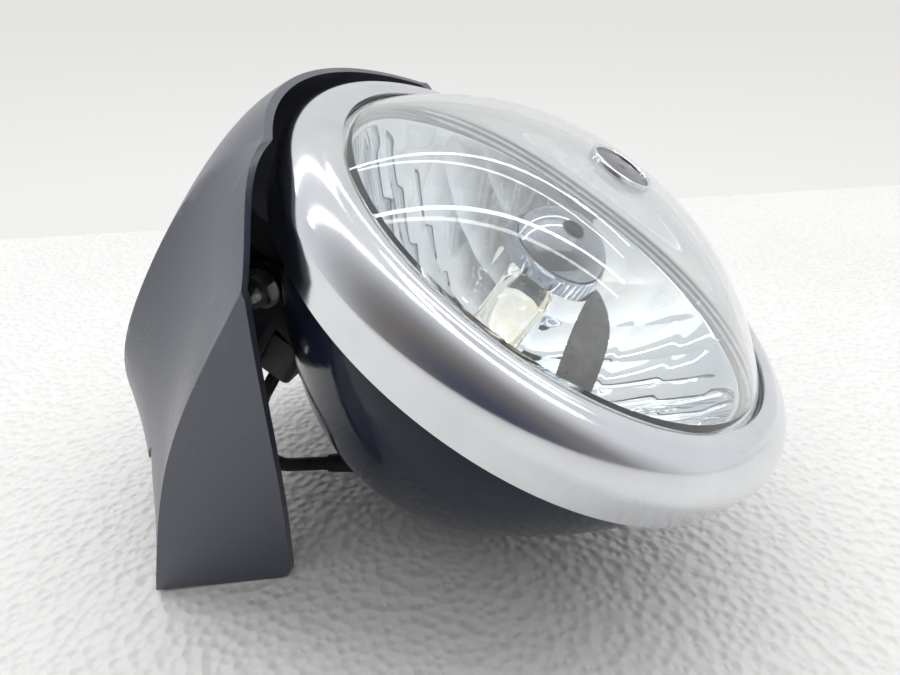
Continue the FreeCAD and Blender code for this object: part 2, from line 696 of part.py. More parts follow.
def make_knuckle():
    """A block under the crown, rounded about the tilt axis and tapped for the clamp bolt."""
    half = KNUCKLE_WIDTH / 2
    block = Part.makeBox(KNUCKLE_WIDTH, 2 * KNUCKLE_RADIUS, KNUCKLE_TOP_Z - PIVOT_Z,
                         Vector(-half, PIVOT_Y - KNUCKLE_RADIUS, PIVOT_Z))
    block = block.fuse(crossbar(KNUCKLE_RADIUS, -half, half)).removeSplitter()
    block = block.cut(crossbar(PIVOT_BOLT_RADIUS, -half, half))
    return block.cut(upright(CLAMP_BOLT_RADIUS, KNUCKLE_TOP_Z - CLAMP_BOLT_DEPTH, KNUCKLE_TOP_Z))


def ear_inner_x():
    return KNUCKLE_WIDTH / 2 + TURN_GAP


def washer_x():
    return ear_inner_x() + EAR_SHEET + TURN_GAP


def make_pivot_bolt():
    seat = washer_x() + PIVOT_WASHER
    head = hexagon(PIVOT_HEAD_RADIUS, PIVOT_HEAD_HEIGHT, Vector(seat, PIVOT_Y, PIVOT_Z), Vector(1, 0, 0))
    end = seat + PIVOT_HEAD_HEIGHT + PIVOT_WASHER
    return crossbar(PIVOT_BOLT_RADIUS, -end, seat).fuse(head)


def make_pivot_nut():
    seat = washer_x() + PIVOT_WASHER
    nut = hexagon(PIVOT_HEAD_RADIUS, PIVOT_HEAD_HEIGHT, Vector(-seat, PIVOT_Y, PIVOT_Z), Vector(-1, 0, 0))
    return nut.cut(crossbar(PIVOT_BOLT_RADIUS, -2 * seat, 0))


def make_pivot_washers():
    discs = []
    for low in (washer_x(), -washer_x() - PIVOT_WASHER):
        disc = crossbar(PIVOT_HEAD_RADIUS + PIVOT_WASHER, low, low + PIVOT_WASHER)
        discs.append(disc.cut(crossbar(PIVOT_BOLT_RADIUS, low, low + PIVOT_WASHER)))
    return Part.makeCompound(discs)


def rivet_places():
    return (SADDLE_FRONT_Y + RIVET_END_GAP, SADDLE_REAR_Y - RIVET_END_GAP)


def rivet_line(y):
    """Point on the saddle's outer face at y, and the outward direction there."""
    step = 0.1
    rise = bucket_radius_at(y + step, -SADDLE_SHEET) - bucket_radius_at(y - step, -SADDLE_SHEET)
    out = Vector(0, -rise / (2 * step), 1)
    out.normalize()
    return Vector(0, y, bucket_radius_at(y, -SADDLE_SHEET)), out


def rivet_grip():
    return SADDLE_SHEET + BUCKET_WALL + TURN_GAP


def rivet_shank(y, radius):
    base, out = rivet_line(y)
    return Part.makeCylinder(radius, rivet_grip() + RIVET_HEAD / 2, base - out * rivet_grip(), out)


def make_saddle_rivets():
    rivets = []
    for y in rivet_places():
        base, out = rivet_line(y)
        outer_head = Part.makeCylinder(RIVET_HEAD_RADIUS, RIVET_HEAD, base, out)
        inner_head = Part.makeCylinder(RIVET_HEAD_RADIUS, RIVET_HEAD, base - out * rivet_grip(), out * -1)
        rivets.append(rivet_shank(y, RIVET_RADIUS).fuse([outer_head, inner_head]).removeSplitter())
    return Part.makeCompound(rivets)


def connector_top_z():
    return CONNECTOR_Z + CONNECTOR_HEIGHT / 2


def make_bucket_bracket():
    """A strip curved to the bowl, two ears round the pivot bolt, and a tail for the lead's connector."""
    half = SADDLE_WIDTH / 2
    window = Part.makeBox(SADDLE_WIDTH, SADDLE_REAR_Y - SADDLE_FRONT_Y, 2 * BUCKET_RADIUS,
                          Vector(-half, SADDLE_FRONT_Y, 0))
    bowl = bowl_solid(0)
    strip = bowl_solid(-SADDLE_SHEET).cut(bowl).common(window)
    foot_z = bucket_radius_at(SADDLE_REAR_Y)
    ears = []
    for low in (ear_inner_x(), -ear_inner_x() - EAR_SHEET):
        plate = side_plate([(PIVOT_Y - EAR_RADIUS, PIVOT_Z), (PIVOT_Y + EAR_RADIUS, PIVOT_Z),
                            (PIVOT_Y + 2 * EAR_RADIUS, foot_z), (PIVOT_Y - 2 * EAR_RADIUS, foot_z)],
                           low, low + EAR_SHEET)
        ears.append(plate.fuse(crossbar(EAR_RADIUS, low, low + EAR_SHEET)).removeSplitter().cut(bowl))
    tail_half = ear_inner_x() + EAR_SHEET
    tail_start = PIVOT_Y + EAR_RADIUS - TAIL_LAP
    tail_end = CONNECTOR_FRONT_Y + CONNECTOR_LENGTH
    tail = Part.makeBox(2 * tail_half, tail_end - tail_start, TAIL_SHEET,
                        Vector(-tail_half, tail_start, connector_top_z()))
    bracket = strip.fuse(ears + [tail.cut(bowl)]).removeSplitter()
    bracket = bracket.cut(crossbar(PIVOT_BOLT_RADIUS + HOLE_GAP, -half, half))
    for y in rivet_places():
        bracket = bracket.cut(rivet_shank(y, RIVET_RADIUS))
    return bracket


def lead_route():
    """Corners of the lead's path, from the bulb socket to the connector."""
    return [Vector(LEAD_BEND.x, socket_rear_y(), LEAD_BEND.z), LEAD_BEND, LEAD_TURN,
            Vector(LEAD_END_X, LEAD_RETURN_Y, CONNECTOR_Z),
            Vector(LEAD_END_X, CONNECTOR_FRONT_Y + CONNECTOR_LENGTH, CONNECTOR_Z)]


def lead_path():
    """Straight runs joined by tangent arcs, each arc as large as its two runs allow."""
    corners = lead_route()
    edges = []
    start = corners[0]
    for before, corner, after in zip(corners, corners[1:], corners[2:]):
        back = before - corner
        ahead = after - corner
        reach = LEAD_ARC_SHARE * min(back.Length, ahead.Length)
        back.normalize()
        ahead.normalize()
        enter = corner + back * reach
        leave = corner + ahead * reach
        half_turn = (math.pi - back.getAngle(ahead)) / 2
        radius = reach / math.tan(half_turn)
        inward = back + ahead
        inward.normalize()
        middle = corner + inward * (radius / math.cos(half_turn) - radius)
        edges += [line(start, enter), arc(enter, middle, leave)]
        print("lead bend radius %.1f mm" % radius)
        start = leave
    edges.append(line(start, corners[-1]))
    return Part.Wire(edges)


def make_lead():
    path = lead_path()
    first = path.Edges[0]
    ring = Part.Wire(Part.Circle(first.valueAt(0), first.tangentAt(0), LEAD_RADIUS).toShape())
    lead = path.makePipeShell([ring], True, False)
    plain = path.Length * math.pi * LEAD_RADIUS ** 2
    print("lead %.1f mm long, volume ratio %.3f" % (path.Length, lead.Volume / plain))
    return lead


def relief_line():
    along = LEAD_TURN - LEAD_BEND
    along.normalize()
    return LEAD_BEND + along * RELIEF_START, along


def lead_hole():
    base, along = relief_line()
    return Part.makeCylinder(RELIEF_RADIUS, RELIEF_LENGTH, base, along)


def make_strain_relief():
    """A rubber sleeve through the bowl's rear wall, tapered round the lead."""
    base, along = relief_line()
    sleeve = Part.makeCylinder(RELIEF_RADIUS, RELIEF_STRAIGHT, base, along)
    taper = Part.makeCone(RELIEF_RADIUS, RELIEF_TIP_RADIUS, RELIEF_LENGTH - RELIEF_STRAIGHT,
                          base + along * RELIEF_STRAIGHT, along)
    bore = Part.makeCylinder(LEAD_RADIUS, RELIEF_LENGTH, base, along)
    return sleeve.fuse(taper).removeSplitter().cut(bore)


def make_lead_connector():
    """A plug housing under the bracket's tail, with rounded lower edges."""
    half = CONNECTOR_WIDTH / 2
    shell = Part.makeBox(CONNECTOR_WIDTH, CONNECTOR_LENGTH, CONNECTOR_HEIGHT,
                         Vector(-half, CONNECTOR_FRONT_Y, CONNECTOR_Z - CONNECTOR_HEIGHT / 2))
    low_edges = [e for e in shell.Edges if abs(e.tangentAt(e.FirstParameter).y) > NEARLY_ALONG
                 and e.BoundBox.ZMax < CONNECTOR_Z]
    return shell.makeFillet(CONNECTOR_CORNER, low_edges)


def export(name, shape):
    """Moves a piece to the fork mount's origin and writes it."""
    piece = shape.copy()
    piece.translate(Vector(0, -CROWN_REAR_Y - MOUNT_BOSS_HEIGHT, -MOUNT_Z))
    piece.exportStep("parts/%s.step" % name)
    print("%-16s solids %d volume %.0f" % (name, len(piece.Solids), piece.Volume))


os.makedirs("parts", exist_ok=True)
reflector_dish = make_reflector()
medallion_rim, medallion_disc = make_medallion()
pieces = {
    "visor": make_visor(),
    "snap_plug": make_snap_plug(),
    "swivel_knuckle": make_knuckle(),
    "clamp_bolt": make_clamp_bolt(),
    "clamp_washer": make_clamp_washer(),
    "pivot_bolt": make_pivot_bolt(),
    "pivot_nut": make_pivot_nut(),
    "pivot_washers": make_pivot_washers(),
    "bucket_bracket": make_bucket_bracket(),
    "saddle_rivets": make_saddle_rivets(),
    "bucket": make_bucket(),
    "trim_ring": make_trim_ring(),
    "ring_screw": make_ring_screw(),
    "ring_nut": make_ring_nut(),
    "lens": make_lens(),
    "medallion_rim": medallion_rim,
    "medallion_disc": medallion_disc,
    "reflector": reflector_dish,
    "rim_gasket": make_gasket(),
    "shield_cup": make_shield_cup(),
    "shield_strap": make_shield_strap(reflector_dish),
    "bulb_glass": make_bulb_glass(),
    "bulb_collar": make_bulb_collar(),
    "bulb_contacts": make_bulb_contacts(),
    "bulb_clip": make_bulb_clip(),
    "bulb_boot": make_bulb_boot(),
    "bulb_socket": make_bulb_socket(),
    "strain_relief": make_strain_relief(),
    "lead": make_lead(),
    "lead_connector": make_lead_connector(),
}
for piece_name, piece_shape in pieces.items():
    export(piece_name, piece_shape)
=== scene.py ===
# %% [markdown]
# # A motorcycle headlight on a pale table
# This lesson dresses a finished CAD headlight: a bright trim ring round a clear glass dome, a dark blue bowl behind
# it, and a dark satin casting over both. The CAD pieces come in as a fixed frame, in metres. Turned pieces are
# worked out again as smooth numpy surfaces, because a mirror finish shows every flat facet of a mesh.

# %% Load the frame
import json
import math

import bmesh
import bpy
import numpy as np
from mathutils import Matrix, Vector


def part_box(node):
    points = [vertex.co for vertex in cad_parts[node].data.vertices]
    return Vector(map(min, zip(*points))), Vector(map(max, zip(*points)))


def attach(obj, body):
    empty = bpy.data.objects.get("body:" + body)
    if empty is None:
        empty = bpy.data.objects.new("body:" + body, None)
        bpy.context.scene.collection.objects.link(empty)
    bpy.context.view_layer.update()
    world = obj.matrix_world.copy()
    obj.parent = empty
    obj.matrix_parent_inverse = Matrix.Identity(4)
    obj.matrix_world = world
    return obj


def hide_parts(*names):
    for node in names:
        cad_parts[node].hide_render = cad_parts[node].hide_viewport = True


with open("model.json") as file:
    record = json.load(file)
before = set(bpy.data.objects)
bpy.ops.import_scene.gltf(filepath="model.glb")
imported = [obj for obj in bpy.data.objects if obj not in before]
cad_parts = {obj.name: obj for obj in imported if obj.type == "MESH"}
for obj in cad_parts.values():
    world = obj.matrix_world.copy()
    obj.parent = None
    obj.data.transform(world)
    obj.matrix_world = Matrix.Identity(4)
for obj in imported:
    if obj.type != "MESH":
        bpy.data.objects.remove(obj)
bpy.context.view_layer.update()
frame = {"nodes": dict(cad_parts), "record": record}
MM = 0.001

# %% [markdown]
# ## Camera
# The photograph looks at the lamp from its left and from slightly ahead, with the lamp lying on its back. The part's
# frame has the lamp upright, so here the camera is rolled instead of the lamp. Three directions say how it stands:
# where it looks, which way is right in the picture, and their cross product, which is up.

# %% Camera
CAMERA_PLACE = Vector((-186.2, -187.4, -62.4)) * MM
LOOK = Vector((0.840, 0.543, 0.0)).normalized()
PICTURE_RIGHT = Vector((0.317, -0.490, -0.812))
FOCAL_PIXELS = 680.0
PICTURE_WIDTH, PICTURE_HEIGHT = 900.0, 675.0
SENSOR_WIDTH = 36.0
NEAREST_SEEN = 5.0 * MM


def new_object(name, data):
    """Puts data into the scene as an object at the origin."""
    thing = bpy.data.objects.new(name, data)
    bpy.context.collection.objects.link(thing)
    return thing


def standing(place, right, up, back):
    """The matrix of a thing at a place whose own x, y and z point right, up and back."""
    return Matrix.Translation(place) @ Matrix((right, up, back)).transposed().to_4x4()


right = (PICTURE_RIGHT - LOOK * PICTURE_RIGHT.dot(LOOK)).normalized()
up = right.cross(LOOK)
camera_data = bpy.data.cameras.new("camera")
camera_data.sensor_width = SENSOR_WIDTH
camera_data.lens = SENSOR_WIDTH * FOCAL_PIXELS / PICTURE_WIDTH
camera_data.clip_start = NEAREST_SEEN
camera = new_object("camera", camera_data)
camera.matrix_world = standing(CAMERA_PLACE, right, up, -LOOK)
bpy.context.scene.camera = camera
bpy.context.scene.view_settings.view_transform = "Standard"
print("lens %.1f mm" % camera_data.lens)

# %% [markdown]
# ## Meshes from arrays
# Nearly every piece below is a grid: rows by columns of points worked out in one go. One helper turns such a grid
# into quads, and closes it round or at a pole where the shape needs it. Another carries a half profile round the
# lamp's axis. Shading stays smooth except across edges sharper than a given angle.

# %% Mesh helpers
ring_low, ring_high = (np.array(corner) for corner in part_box("trim_ring"))
AXIS_Z = (ring_low[2] + ring_high[2]) / 2
SAME_POINT = 1e-6
SAME_CAD_POINT = 2e-6
NO_LENGTH = 1e-7


def grid_faces(rows, columns, wrap_rows=False, wrap_columns=False):
    """Corner numbers of a grid's quads, row by row; a wrapped direction joins its last line to its first."""
    i = np.arange(rows if wrap_rows else rows - 1)[:, None]
    j = np.arange(columns if wrap_columns else columns - 1)[None, :]
    below, beside = (i + 1) % rows, (j + 1) % columns
    corners = np.stack(np.broadcast_arrays(i * columns + j, i * columns + beside, below * columns + beside,
                                           below * columns + j), axis=-1)
    return corners.reshape(-1, 4)


def finish_shading(mesh, smooth_degrees):
    """Smooth shading everywhere but across edges sharper than the angle."""
    mesh.polygons.foreach_set("use_smooth", np.ones(len(mesh.polygons), bool))
    mesh.set_sharp_from_angle(angle=math.radians(smooth_degrees))


def make_mesh(name, points, faces, smooth_degrees=35.0):
    """A mesh object at the origin; doubled points at poles and seams are merged, and faces are turned outwards."""
    mesh = bpy.data.meshes.new(name)
    corners = faces if isinstance(faces, list) else faces.tolist()
    mesh.from_pydata(np.reshape(points, (-1, 3)).tolist(), [], corners)
    shape = bmesh.new()
    shape.from_mesh(mesh)
    bmesh.ops.remove_doubles(shape, verts=shape.verts, dist=SAME_POINT)
    bmesh.ops.dissolve_degenerate(shape, edges=shape.edges, dist=NO_LENGTH)
    bmesh.ops.recalc_face_normals(shape, faces=shape.faces)
    shape.to_mesh(mesh)
    shape.free()
    finish_shading(mesh, smooth_degrees)
    return new_object(name, mesh)


def turned(profile, segments):
    """Points of a profile carried round the lamp's axis: x = r cos a, z = axis + r sin a, y kept. Columns go round."""
    angle = np.linspace(0, 2 * np.pi, segments, endpoint=False)
    radius, y = profile[:, :1], profile[:, 1:]
    return np.stack([radius * np.cos(angle), y + 0 * angle, AXIS_Z + radius * np.sin(angle)], axis=-1)


def turned_piece(name, profile, closed=True, smooth_degrees=35.0, segments=192):
    """A piece turned from (radius, y) points; a closed profile makes a ring, an open one ends at the poles."""
    points = turned(profile, segments)
    faces = grid_faces(points.shape[0], segments, wrap_rows=closed, wrap_columns=True)
    return make_mesh(name, points, faces, smooth_degrees)


print("lamp axis at z = %.4f" % AXIS_Z)

# %% [markdown]
# ## Standing for a CAD piece
# A dressed piece takes the place of its CAD node: it rides on the node's body, takes a finish of its own and
# hides the plain solid. Where the solid's own shape is right, a copy with its triangles joined is all it takes.

# %% Dressing helpers
BODY_OF = {node: body for body, nodes in frame["record"]["behaviour"]["bodies"].items() for node in nodes}


def smooth_copy(node, smooth_degrees=30.0):
    """A copy of a CAD node with its loose triangles joined, so that it shades smoothly."""
    mesh = frame["nodes"][node].data.copy()
    shape = bmesh.new()
    shape.from_mesh(mesh)
    bmesh.ops.remove_doubles(shape, verts=shape.verts, dist=SAME_CAD_POINT)
    shape.to_mesh(mesh)
    shape.free()
    finish_shading(mesh, smooth_degrees)
    return new_object(node + "_dressed", mesh)


def dress(piece, material, *nodes):
    """Gives a piece its finish and lets it stand for its CAD nodes on their body."""
    piece.data.materials.clear()
    piece.data.materials.append(material)
    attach(piece, BODY_OF[nodes[0]])
    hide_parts(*nodes)
    print(piece.name, "faces", len(piece.data.polygons))


print("bodies:", sorted(set(BODY_OF.values())))

# %% [markdown]
# ## Finishes
# A finish is a Principled shader with a little life in it: grain in the bump, wear or smudges in the roughness. The
# helpers keep each finish to a few lines. Patterns read Object coordinates, so they stay on the piece as it moves.

# %% Pattern helpers
EVEN = (1.0, 1.0, 1.0)


def noise(material, per_metre, detail=3.0, stretch=EVEN, rough=0.55):
    """A noise value over the piece, with so many features per metre, stretched along its axes."""
    nodes, links = material.node_tree.nodes, material.node_tree.links
    place = nodes.new("ShaderNodeTexCoord")
    mapping = nodes.new("ShaderNodeMapping")
    mapping.inputs["Scale"].default_value = stretch
    pattern = nodes.new("ShaderNodeTexNoise")
    pattern.inputs["Scale"].default_value = per_metre
    pattern.inputs["Detail"].default_value = detail
    pattern.inputs["Roughness"].default_value = rough
    links.new(place.outputs["Object"], mapping.inputs["Vector"])
    links.new(mapping.outputs["Vector"], pattern.inputs["Vector"])
    return pattern.outputs["Fac"]


def remap(owner, value, low, high, to_low=0.0, to_high=1.0):
    """The value carried from one range to another, held at the ends; the owner is a material or the world."""
    node = owner.node_tree.nodes.new("ShaderNodeMapRange")
    for socket, number in zip(("From Min", "From Max", "To Min", "To Max"), (low, high, to_low, to_high)):
        node.inputs[socket].default_value = number
    owner.node_tree.links.new(value, node.inputs["Value"])
    return node.outputs["Result"]


def tones(owner, value, *stops):
    """A colour from a value by stops of (place, colour)."""
    ramp = owner.node_tree.nodes.new("ShaderNodeValToRGB")
    elements = ramp.color_ramp.elements
    while len(elements) < len(stops):
        elements.new(0.5)
    for element, (place, colour) in zip(elements, stops):
        element.position = place
        element.color = (*colour, 1.0)
    owner.node_tree.links.new(value, ramp.inputs["Fac"])
    return ramp.outputs["Color"]


print("pattern helpers ready")

# %% Finish helpers
def new_finish(name, **values):
    """A material with one Principled shader and constant values set on its own sockets."""
    material = bpy.data.materials.new(name)
    material.use_nodes = True
    shader = material.node_tree.nodes["Principled BSDF"]
    for socket, value in values.items():
        shader.inputs[socket.replace("_", " ")].default_value = value
    return material


def feed(material, value, socket):
    """Links a value to a socket of the finish's shader."""
    shader = material.node_tree.nodes["Principled BSDF"]
    material.node_tree.links.new(value, shader.inputs[socket])


def mottle(material, value, dark, light, low=0.3, high=0.7):
    """Base colour that goes from a dark to a light tone as the value goes from low to high."""
    feed(material, tones(material, value, (low, dark), (high, light)), "Base Color")


def roughen(material, value, smooth, rough, low=0.3, high=0.7):
    """Roughness that goes from smooth to rough as the value goes from low to high."""
    feed(material, remap(material, value, low, high, smooth, rough), "Roughness")


def bump(material, height, depth, strength=1.0):
    """Lets a height value tilt the surface, full height being depth metres."""
    node = material.node_tree.nodes.new("ShaderNodeBump")
    node.inputs["Strength"].default_value = strength
    node.inputs["Distance"].default_value = depth
    material.node_tree.links.new(height, node.inputs["Height"])
    feed(material, node.outputs["Normal"], "Normal")


def plain_finish(name, tone, dark, light, wear, smooth, rough, **values):
    """A finish with a mottled tone and uneven roughness; tone and wear are each (features per metre, detail)."""
    material = new_finish(name, **values)
    mottle(material, noise(material, *tone), dark, light)
    roughen(material, noise(material, *wear), smooth, rough)
    return material


def grey(level):
    """A colour with the same level in all three channels."""
    return (level, level, level)


print("finish helpers ready")

# %% [markdown]
# ### The large pieces
# The casting's paint is scuffed along its length and has a fine grain. The bowl is smooth dark enamel. The ring is
# polished but not perfect, so its highlights have soft edges, and the dish is a true mirror.

# %% Finishes of the large pieces
visor_paint = new_finish("visor_paint", Specular_IOR_Level=1.0)
scuffs = remap(visor_paint, noise(visor_paint, 70, 6.0, stretch=(1.0, 0.35, 1.0), rough=0.7), 0.60, 0.78)
mottle(visor_paint, scuffs, (0.055, 0.061, 0.087), (0.127, 0.135, 0.171), low=0.0, high=1.0)
roughen(visor_paint, noise(visor_paint, 25, 4.0), 0.26, 0.34)
bump(visor_paint, noise(visor_paint, 1500, 2.0), 0.12 * MM, 0.4)

enamel = new_finish("bowl_enamel", Specular_IOR_Level=0.15)
mottle(enamel, noise(enamel, 40, 5.0), (0.008, 0.012, 0.024), (0.013, 0.019, 0.036), high=0.75)
roughen(enamel, noise(enamel, 120, 5.0), 0.07, 0.2, low=0.35, high=0.75)
bump(enamel, noise(enamel, 320, 2.0), 0.04 * MM, 0.12)

chrome = new_finish("ring_chrome", Metallic=1.0)
mottle(chrome, noise(chrome, 45, 4.0), (0.66, 0.67, 0.695), (0.75, 0.76, 0.775))
roughen(chrome, noise(chrome, 60, 6.0, stretch=(1.0, 3.0, 1.0)), 0.10, 0.18, low=0.4, high=0.75)
bump(chrome, noise(chrome, 90, 1.0), 0.03 * MM, 0.06)

glass = new_finish("lens_glass", Base_Color=(0.965, 0.985, 0.98, 1.0), Transmission_Weight=0.94, IOR=1.5)
roughen(glass, noise(glass, 90, 6.0), 0.0, 0.035, low=0.55, high=0.8)

quartz = new_finish("bulb_quartz", Transmission_Weight=1.0, IOR=1.46, Roughness=0.01)
mottle(quartz, noise(quartz, 120, 3.0), (1.0, 0.90, 0.66), (1.0, 0.98, 0.93), low=0.35, high=0.6)

mirror = new_finish("dish_mirror", Metallic=1.0)
mottle(mirror, noise(mirror, 30, 3.0), (0.84, 0.90, 0.96), (0.96, 0.96, 0.955), low=0.35, high=0.65)
roughen(mirror, noise(mirror, 80, 4.0), 0.02, 0.08, low=0.4, high=0.75)
print("finishes:", len(bpy.data.materials))

# %% [markdown]
# ### The small pieces
# Plating, rubber and plastic differ in tone, in how rough they are and in how fine their pattern is, so one helper
# makes them all. Rubber and moulded plastic get a grain on top.

# %% Finishes of the small pieces
seat_paint = plain_finish("seat_paint", tone=(120, 4.0), dark=(0.74, 0.77, 0.79), light=(0.84, 0.86, 0.87),
                          wear=(300, 3.0), smooth=0.3, rough=0.45, Specular_IOR_Level=0.4)
nickel = plain_finish("shield_nickel", tone=(90, 4.0), dark=(0.26, 0.28, 0.32), light=(0.40, 0.42, 0.46),
                      wear=(150, 4.0), smooth=0.03, rough=0.10, Metallic=1.0)
strap_grey = plain_finish("strap_grey", tone=(300, 4.0), dark=(0.15, 0.135, 0.125), light=(0.24, 0.22, 0.20),
                          wear=(500, 3.0), smooth=0.25, rough=0.45, Metallic=0.3)
zinc = plain_finish("zinc_plate", tone=(260, 5.0), dark=(0.46, 0.46, 0.44), light=(0.66, 0.66, 0.63),
                    wear=(400, 4.0), smooth=0.25, rough=0.45, Metallic=1.0)
bracket_paint = plain_finish("bracket_paint", tone=(90, 5.0), dark=grey(0.018), light=grey(0.034),
                             wear=(200, 4.0), smooth=0.3, rough=0.5)
rubber = plain_finish("soft_rubber", tone=(200, 5.0), dark=grey(0.016), light=grey(0.03),
                      wear=(500, 3.0), smooth=0.5, rough=0.7, Specular_IOR_Level=0.35)
bump(rubber, noise(rubber, 1600, 2.0), 0.08 * MM, 0.3)
silicone = plain_finish("clear_silicone", tone=(150, 4.0), dark=(0.62, 0.65, 0.66), light=(0.74, 0.77, 0.78),
                        wear=(400, 3.0), smooth=0.25, rough=0.4, Specular_IOR_Level=0.45)
nylon = plain_finish("black_nylon", tone=(150, 4.0), dark=grey(0.022), light=grey(0.04),
                     wear=(300, 4.0), smooth=0.4, rough=0.55)
bump(nylon, noise(nylon, 2500, 2.0), 0.05 * MM, 0.3)
passivate = plain_finish("yellow_passivate", tone=(220, 4.0), dark=(0.62, 0.42, 0.12), light=(0.78, 0.58, 0.24),
                         wear=(400, 4.0), smooth=0.18, rough=0.35, Metallic=1.0)
brass = plain_finish("contact_brass", tone=(300, 4.0), dark=(0.55, 0.40, 0.16), light=(0.75, 0.58, 0.27),
                     wear=(500, 4.0), smooth=0.25, rough=0.4, Metallic=1.0)
medallion_field = plain_finish("medallion_field", tone=(900, 4.0), dark=(0.016, 0.018, 0.026),
                               light=(0.034, 0.037, 0.05), wear=(600, 4.0), smooth=0.15, rough=0.3, Coat_Weight=0.5)
print("finishes:", len(bpy.data.materials))

# %% [markdown]
# ## Trim ring
# The ring is pressed from thin sheet: a slightly conical skirt, a full round shoulder and a front that dips in to
# the glass. Three short curves make its outer line. The sheet's inner line is the same line moved along its normals,
# and the closed profile is carried once round the axis. A turned grid keeps the ring free of facets.

# %% Trim ring
RING_SHOULDER, RING_REAR_Y = ring_high[0], ring_high[1]
RING_FLARE = 1.3 * MM
RING_SKIRT = 10.0 * MM
RING_SHEET = 1.2 * MM
CREST = (-7.3 * MM, -19.3 * MM)
ROLL = (-2.0 * MM, -15.7 * MM)
LENS_EDGE = (69.2 * MM, -19.8 * MM)
DIP_BULGE = 0.7 * MM
SKIRT_POINTS, BULLNOSE_POINTS, DIP_POINTS = 6, 28, 10


def arc_through(a, b, c, count):
    """Points of the circle through three points, from the first to the last: centre by perpendicular bisectors."""
    a, b, c = (np.asarray(p, float) for p in (a, b, c))
    centre = np.linalg.solve(2 * np.array([b - a, c - a]), np.array([b @ b - a @ a, c @ c - a @ a]))
    angles = np.unwrap([math.atan2(*(p - centre)[::-1]) for p in (a, b, c)])
    sweep = np.interp(np.linspace(0, 2, count), [0, 1, 2], angles)
    return centre + np.linalg.norm(a - centre) * np.stack([np.cos(sweep), np.sin(sweep)], axis=1)


def moved_inwards(line, distance):
    """A profile line moved along its normals: each step's direction turned by a quarter turn to the right."""
    along = np.gradient(line, axis=0)
    along /= np.linalg.norm(along, axis=1, keepdims=True)
    return line + distance * np.stack([along[:, 1], -along[:, 0]], axis=1)


rear = np.array([RING_SHOULDER - RING_FLARE, RING_REAR_Y])
shoulder = np.array([RING_SHOULDER, RING_REAR_Y - RING_SKIRT])
roll = np.array([RING_SHOULDER + ROLL[0], RING_REAR_Y + ROLL[1]])
crest = np.array([RING_SHOULDER + CREST[0], RING_REAR_Y + CREST[1]])
edge = np.array([LENS_EDGE[0], RING_REAR_Y + LENS_EDGE[1]])
skirt = np.linspace(rear, shoulder, SKIRT_POINTS)
bullnose = arc_through(shoulder, roll, crest, BULLNOSE_POINTS)
dip = arc_through(crest, (crest + edge) / 2 + (0, -DIP_BULGE), edge, DIP_POINTS)
outer_line = np.concatenate([skirt, bullnose[1:], dip[1:]])
inner_line = moved_inwards(outer_line, RING_SHEET)
ring_profile = np.concatenate([outer_line, inner_line[::-1]])
trim_ring = turned_piece("trim_ring_chrome", ring_profile, smooth_degrees=40.0, segments=256)
dress(trim_ring, chrome, "trim_ring")

# %% [markdown]
# ## Glass dome
# The lens is a moulded dome with a flat flange that the ring holds down. Its height falls off as a power of the
# radius, which makes it flatter in the middle and steeper at the edge than a ball would be. Outer and inner faces
# are one open profile from pole to pole, so the glass is a closed body and light bends through it as it should.

# %% Glass dome
lens_low, lens_high = (np.array(corner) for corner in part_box("lens"))
GLASS = 3.5 * MM
DOME_EDGE = 69.0 * MM
DOME_RISE = 26.0 * MM
DOME_POWER = 2.4
DOME_POINTS = 60
FLANGE = lens_high[0]
flange_front, flange_rear = lens_high[1] - GLASS, lens_high[1]


def dome_line(edge_radius, rise):
    """Dome profile from the pole outwards: y = flange front - rise (1 - (r / edge) ** power), denser at the edge."""
    radius = edge_radius * np.sin(np.linspace(0, np.pi / 2, DOME_POINTS))
    return np.stack([radius, flange_front - rise * (1 - (radius / edge_radius) ** DOME_POWER)], axis=1)


outside = dome_line(DOME_EDGE, DOME_RISE)
outside[:, 1] = np.maximum(outside[:, 1], lens_low[1])
inside = dome_line(DOME_EDGE - GLASS, DOME_RISE - GLASS)
flange = np.array([[FLANGE, flange_front], [FLANGE, flange_rear], [DOME_EDGE - GLASS, flange_rear]])
dome_profile = np.concatenate([outside, flange, inside[::-1]])
dome = turned_piece("glass_dome", dome_profile, closed=False, smooth_degrees=30.0)
dress(dome, glass, "lens")

# %% [markdown]
# ## Faceted dish
# The reflector is a paraboloid cut into upright flutes, each a shallow trough that spreads the light sideways. Its
# grid follows the flutes: columns are cuts at a fixed x, and each runs from the neck hole to the rim, once upwards
# and once downwards. The flutes' edges then lie on grid lines and stay sharp in the mirror.

# %% Faceted dish
dish_low, dish_high = (np.array(corner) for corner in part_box("reflector"))
DISH_RIM = DOME_EDGE - GLASS
DISH_NECK = 19.0 * MM
DISH_SHEET = 1.2 * MM
DISH_NECK_Y = dish_high[1] - DISH_SHEET
DISH_RIM_Y = dish_low[1] + DISH_SHEET
FLUTE_EDGES = np.array([-65.5, -50.0, -36.0, -22.0, -8.0, 8.0, 22.0, 36.0, 50.0, 65.5]) * MM
FLUTE_DEPTH = 1.0 * MM
FLUTE_COLUMNS = 20
ROW_HEIGHT = 13.1 * MM
ROW_DEPTH = 0.5 * MM
RIM_FADE, NECK_FADE = 4 * MM, 3 * MM
POINTS_ALONG = 81


